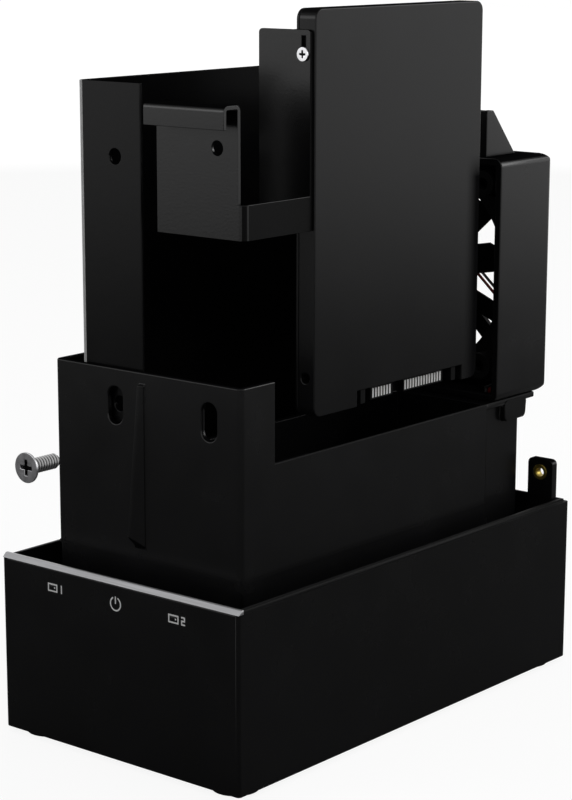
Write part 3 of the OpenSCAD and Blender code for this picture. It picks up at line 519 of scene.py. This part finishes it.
def even_shading(piece, angle=BREAK_FROM):
    """Smooth shading that keeps flat faces flat."""
    mesh = piece.data
    mesh.polygons.foreach_set("use_smooth", [True] * len(mesh.polygons))
    mesh.set_sharp_from_angle(angle=math.radians(angle))
    weighted = piece.modifiers.new("weighted", "WEIGHTED_NORMAL")
    weighted.keep_sharp = True
    baked(piece)


def baked(piece):
    """Turns a piece's modifiers into its plain mesh."""
    bpy.context.view_layer.update()
    seen = piece.evaluated_get(bpy.context.evaluated_depsgraph_get())
    mesh = bpy.data.meshes.new_from_object(seen, preserve_all_data_layers=True,
                                           depsgraph=bpy.context.evaluated_depsgraph_get())
    piece.modifiers.clear()
    piece.data = mesh
    return piece


def piece_from(form, name, material):
    """A piece in the scene, made from a form that is then let go."""
    mesh = bpy.data.meshes.new(name)
    form.to_mesh(mesh)
    form.free()
    mesh.materials.append(material)
    piece = bpy.data.objects.new(name, mesh)
    bpy.context.scene.collection.objects.link(piece)
    return piece


def seated(piece, node):
    """The piece stands for a CAD node: it goes on the node's body, and the node is hidden."""
    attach(piece, body_of(node))
    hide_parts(node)
    return piece


def rounded(form, width, crisp=()):
    """Rounds a form's sharp edges, except in the boxes crisp, in mm, where fine steps stay as they are."""
    sharp = [edge for edge in form.edges
             if len(edge.link_faces) == 2 and edge.calc_face_angle(0) > math.radians(SHARP_FROM)]
    for low, high in crisp:
        sharp = [edge for edge in sharp
                 if not all(low[i] <= end.co[i] / MM <= high[i] for end in edge.verts for i in range(3))]
    bmesh.ops.bevel(form, geom=sharp, offset=width * MM, offset_type="OFFSET", segments=BEVEL_STEPS,
                    profile=0.5, affect="EDGES", clamp_overlap=False)


def in_boxes(*boxes):
    """Test for points, in mm, that lie in one of some boxes."""
    return lambda point: any(all(low[i] < point[i] < high[i] for i in range(3)) for low, high in boxes)


def in_barrel(x, z, radius, low, high):
    """Test for points, in mm, that lie in a cylinder along Y."""
    return lambda point: low < point[1] < high and math.hypot(point[0] - x, point[2] - z) < radius


def painted(piece, material, inside):
    """Gives a second finish to the faces whose middle, in mm, passes the test."""
    piece.data.materials.append(material)
    for face in piece.data.polygons:
        if inside([part / MM for part in face.center]):
            face.material_index = len(piece.data.materials) - 1


def softened(node, material, width, crisp=(), cut=None):
    """The CAD shape with its sharp edges rounded; a cut at some X, in mm, parts its faces first."""
    form = merged(node)
    if cut is not None:
        bmesh.ops.bisect_plane(form, geom=[*form.verts, *form.edges, *form.faces], plane_co=(cut * MM, 0, 0),
                               plane_no=(1, 0, 0))
    rounded(form, width, crisp)
    piece = piece_from(form, node + "_form", material)
    even_shading(piece)
    return seated(piece, node)


def islands(form):
    """The separate solids of a form, each as its vertices, and the middle of each one's box."""
    left, groups = set(form.verts), []
    while left:
        group, edge_of = set(), [next(iter(left))]
        while edge_of:
            vertex = edge_of.pop()
            if vertex in group:
                continue
            group.add(vertex)
            edge_of.extend(edge.other_vert(vertex) for edge in vertex.link_edges)
        left -= group
        groups.append(group)
    return [(group, middle_of([vertex.co for vertex in group])) for group in groups]


def middle_of(points):
    """Middle of the box round some points."""
    low = Vector([min(point[i] for point in points) for i in range(3)])
    high = Vector([max(point[i] for point in points) for i in range(3)])
    return (low + high) / 2


def repeated(node, material, width):
    """Equal solids of a CAD node: one of them is rounded and then set on the middle of each of them."""
    form = merged(node)
    found = sorted(islands(form), key=lambda item: tuple(round(part, 5) for part in item[1]))
    kept, start = found[0]
    bmesh.ops.delete(form, geom=[vertex for vertex in form.verts if vertex not in kept], context="VERTS")
    bmesh.ops.translate(form, verts=form.verts, vec=-start)
    rounded(form, width)
    master = piece_from(form, node + "_one", material)
    points = bmesh.new()
    for _, middle in found:
        points.verts.new(middle)
    piece = grown(piece_from(points, node + "_form", material), COPIES, Copy=master, Material=material)
    bpy.data.objects.remove(master)
    even_shading(piece)
    return seated(piece, node)


def turned(profile, middle, steps=72):
    """A form turned round the Y axis from points of radius and place along the axis, in mm."""
    form = bmesh.new()
    turns = [2 * math.pi * k / steps for k in range(steps)]
    rings = []
    for radius, along in profile:
        rings.append([form.verts.new(((middle[0] + radius * math.sin(turn)) * MM, along * MM,
                                      (middle[1] + radius * math.cos(turn)) * MM))
                      for turn in (turns if radius else turns[:1])])
    for near, far in zip(rings, rings[1:]):
        for k in range(steps):
            corners = [near[k % len(near)], near[(k + 1) % len(near)],
                       far[(k + 1) % len(far)], far[k % len(far)]]
            form.faces.new(list(dict.fromkeys(corners)))
    bmesh.ops.recalc_face_normals(form, faces=form.faces)
    return form


def fan_blade(root, tip, chord, tilt, thick, camber, thinning=0.7, across=10, along=8):
    """One curved blade that reaches out along X, thinner to its edges, with its tip on the duct's circle."""
    form = bmesh.new()
    lean = math.radians(tilt)
    skins = []
    for side in (-1, 1):
        grid = []
        for i in range(across + 1):
            v = 2 * i / across - 1
            away = camber * (1 - v * v) + side * thick / 2 * (1 - thinning * v * v)
            y = -v * chord / 2 * math.sin(lean) + away * math.cos(lean)
            z = v * chord / 2 * math.cos(lean) + away * math.sin(lean)
            end = math.sqrt(tip * tip - z * z)
            grid.append([form.verts.new(((root + (end - root) * j / along) * MM, y * MM, z * MM))
                         for j in range(along + 1)])
        skins.append(grid)
    low, high = skins
    for i in range(across):
        for j in range(along):
            form.faces.new((low[i][j], low[i + 1][j], low[i + 1][j + 1], low[i][j + 1]))
            form.faces.new((high[i][j], high[i][j + 1], high[i + 1][j + 1], high[i + 1][j]))
        for j in (0, along):
            form.faces.new((low[i][j], low[i + 1][j], high[i + 1][j], high[i][j]))
    for i in (0, across):
        for j in range(along):
            form.faces.new((low[i][j], low[i][j + 1], high[i][j + 1], high[i][j]))
    bmesh.ops.recalc_face_normals(form, faces=form.faces)
    return form


def fan_rotor(blades=11, turn=-10, hub_r=12.5, hub_depth=8.4, wall=1.5, axle_r=1):
    """Cup-shaped hub on its axle with curved blades, in the middle of the fan's frame."""
    (_, front, _), (_, axle_end, _) = box_of("fan_rotor")
    (_, _, frame_low), (_, _, frame_high) = box_of("fan_frame")
    fan_z = (frame_low + frame_high) / 2
    round_edge = ((0.8, 0), (0.2, 0.25), (0, 0.8))
    profile = [(0, front), *((hub_r - inwards, front + back) for inwards, back in round_edge),
               (hub_r, front + hub_depth), (hub_r - wall, front + hub_depth), (hub_r - wall, front + wall),
               (axle_r, front + wall), (axle_r, axle_end), (0, axle_end)]
    hub = piece_from(turned(profile, (0, fan_z)), "rotor_hub", BLACK_AND_SHADE)
    blade = fan_blade(root=11.8, tip=27.5, chord=10.8, tilt=40, thick=1.2, camber=0.8)
    piece = grown(piece_from(blade, "fan_rotor_form", BLACK_AND_SHADE), ring_tree(), Count=blades,
                  Turn=math.radians(turn), Middle=(0, (front + hub_depth / 2) * MM, fan_z * MM), Hub=hub,
                  Material=BLACK_AND_SHADE)
    bpy.data.objects.remove(hub)
    even_shading(piece, BREAK_TURNED)
    return seated(piece, "fan_rotor")


def threaded_screw(node, material, root, depth, pitch, head_end, tip, width):
    """A CAD screw along Y whose plain shank is drawn in to the root of a thread, which then grows on it."""
    recess_r, recess_front, recess_back = 1.8, 0.2, 1.5
    under_head, slack = 0.3, 0.05
    crest = root + depth
    form = merged(node)
    middle = middle_of([vertex.co for vertex in form.verts])
    front = min(vertex.co.y for vertex in form.verts)
    back = max(vertex.co.y for vertex in form.verts)
    for vertex in form.verts:
        across = math.hypot(vertex.co.x - middle.x, vertex.co.z - middle.z)
        if vertex.co.y > front + (head_end - slack) * MM and across > root * MM:
            share = root * MM / across
            vertex.co.x = middle.x + (vertex.co.x - middle.x) * share
            vertex.co.z = middle.z + (vertex.co.z - middle.z) * share
    rounded(form, width)
    piece = piece_from(form, node + "_form", material)
    length = back - front - (head_end + tip) * MM
    grown(piece, thread_tree(), Radius=root * MM, Depth=depth * MM, Turns=length / (pitch * MM),
          Length=length, Start=(middle.x, front + head_end * MM, middle.z), Material=material)
    even_shading(piece, BREAK_TURNED)
    middle, front = middle / MM, front / MM
    shank = in_barrel(middle.x, middle.z, crest + 2 * slack, front + head_end - under_head, FAR)
    recess = in_barrel(middle.x, middle.z, recess_r, front + recess_front, front + recess_back)
    # painted shade: darker down in the thread's roots
    painted(piece, thread_steel_and_shade(middle * MM, root, crest), shank)
    # painted shade: dull black in the head's recess
    painted(piece, BLACK_AND_SHADE, recess)
    return seated(piece, node)


def base_case(lip=5.1, rim_depth=3.4, painted_shade_depth=0.85):
    """Open base: its marks and the sides of its rim stay crisp, and the top of the rim gets painted shade in
    dull black.
    """
    (left, front, _), (right, _, top) = box_of("base_case")
    marks = ((left + 0.1, -FAR, top - 10), (right - 0.1, front + 0.5, top - 0.9))
    sides = [((-FAR, -FAR, top - rim_depth), (left + lip, FAR, FAR)),
             ((right - lip, -FAR, top - rim_depth), (FAR, FAR, FAR))]
    case = softened("base_case", CASE, width=0.3, crisp=[marks, *sides])
    painted(case, BLACK_AND_SHADE, in_boxes(((-FAR, -FAR, top - painted_shade_depth), (FAR, FAR, FAR))))


def drive_cradle(wall=3.2):
    """Two-bay cradle: its step and its rear ledge's corners stay crisp, the ledge's edges get painted shade
    in dull black.
    """
    (left, _, _), (right, back, _) = box_of("drive_cradle")
    ledge = box_of("fan_housing")[0][2]
    step = ((-FAR, -FAR, 50.5), (FAR, back, 51.3))
    corners = [((low, back - start, ledge - depth), (high, back - end, ledge + 0.2))
               for low, high in ((-FAR, left + wall), (right - wall, FAR))
               for start, end, depth in ((16, 3.5, 3.1), (23.6, 21.8, 2.5))]
    edges = [((low, -FAR, ledge - 0.35), (high, FAR, ledge + 0.3))
             for low, high in ((-FAR, left + wall + 0.1), (right - wall - 0.1, FAR))]
    cradle = softened("drive_cradle", CASE, width=0.4, crisp=[step, *corners])
    painted(cradle, BLACK_AND_SHADE, in_boxes(*edges))


def drive_tray(bend=1.6):
    """Sheet tray: a painted highlight along its front bend, and painted shade further in, where its coat
    shines less.
    """
    (left, front, _), _ = box_of("drive_tray")
    start = (-FAR, -FAR, -FAR)
    tray = softened("drive_tray", powder_coat("tray_black", shine=0.17), width=0.2, cut=left + bend)
    painted(tray, painted_bend_highlight(), in_boxes((start, (left + 0.85, front + 1.0, FAR)),
                                        (start, (left + bend, front + 0.5, FAR))))
    # painted shade on the tray's inside: a coat with almost no shine
    painted(tray, powder_coat("tray_shade", shine=0.03),
            in_boxes(((left + 0.9, front + 1.1, -FAR), (FAR, FAR, FAR))))


def adapter_bracket():
    """Folded sheet bracket: painted shade in dull black on its outer face and on the cut edges of its hook.
    """
    (_, front, foot), (outside, _, _) = box_of("adapter_bracket")
    hook = ((outside - 0.8, -FAR, -FAR), (outside - 0.05, front + 6.78, foot + 5.8))
    face = ((outside - 0.18, -FAR, foot + 9.6), (FAR, FAR, FAR))
    bracket = softened("adapter_bracket", powder_coat("sheet_black", shine=0.4), width=0.12)
    painted(bracket, BLACK_AND_SHADE, in_boxes(hook, face))


def drive_screws(recess_r=1.1, recess_front=0.1, recess_back=0.4):
    """Two pale screws in line along Y, with painted shade in dull black in the recess of the front one's
    head.
    """
    (left, front, low), (right, _, high) = box_of("drive_screws")
    steel = plated_steel("pale_steel", dark=0.75, light=0.92, smooth=0.24)
    screws = softened("drive_screws", steel, width=0.08)
    painted(screws, BLACK_AND_SHADE, in_barrel((left + right) / 2, (low + high) / 2, recess_r,
                                     front + recess_front, front + recess_back))


def dressed(node, material):
    """A CAD node that keeps its own mesh and gets its finish."""
    mesh = NODES[node].data
    mesh.materials.clear()
    mesh.materials.append(material)


# the scene
bpy.context.scene.view_settings.view_transform = "Standard"
photo_camera()
studio()

CASE = case_plastic()
STEEL = plated_steel("screw_steel", dark=0.34, light=0.56, smooth=0.22)
BLACK_AND_SHADE = inner_plastic()
DRIVE = drive_coat()
BOARD = circuit_board()
COPIES = copies_tree()

base_case()
softened("front_trim", bright_edge(), width=0.2)
repeated("feet", rubber(), width=0.35)
drive_cradle()
softened("rear_tab", CASE, width=0.2)
softened("fan_housing", CASE, width=0.3)
softened("top_plate", CASE, width=0.25)
drive_tray()
adapter_bracket()
softened("drive_shell", DRIVE, width=0.35)
softened("drive_base", DRIVE, width=0.2)
softened("power_button", CASE, width=0.4)
for part, width in (("dock_sockets", 0.2), ("dc_jack", 0.2), ("switch_body", 0.2), ("fan_frame", 0.2),
                    ("fan_motor", 0.15), ("drive_connector", 0.1), ("board_chips", 0.15)):
    softened(part, BLACK_AND_SHADE, width)
fan_rotor()
softened("usb_port", STEEL, width=0.12)
softened("tab_screw", STEEL, width=0.12)
drive_screws()
softened("brass_insert", brass(), width=0.15)
softened("lead_plug", nylon(), width=0.2)
for part in ("board_screws", "cradle_screws", "fan_screws"):
    repeated(part, STEEL, width=0.12)
repeated("drive_contacts", pale_plate(), width=0.05)
repeated("dock_contacts", gold_plate(), width=0.05)
threaded_screw("fixing_screw", STEEL, root=1.39, depth=0.36, pitch=0.79, head_end=2.2, tip=0.7, width=0.1)

INK = print_ink()
for mark in ("mark_left", "mark_power", "mark_right"):
    dressed(mark, INK)
for board in ("main_board", "drive_board"):
    dressed(board, BOARD)
dressed("usb_tongue", BLACK_AND_SHADE)
dressed("jack_pin", STEEL)
dressed("fan_lead_red", lead_skin("lead_red", (0.30, 0.008, 0.008), (0.42, 0.014, 0.012)))
dressed("fan_lead_black", lead_skin("lead_black", grey(0.006), grey(0.012)))
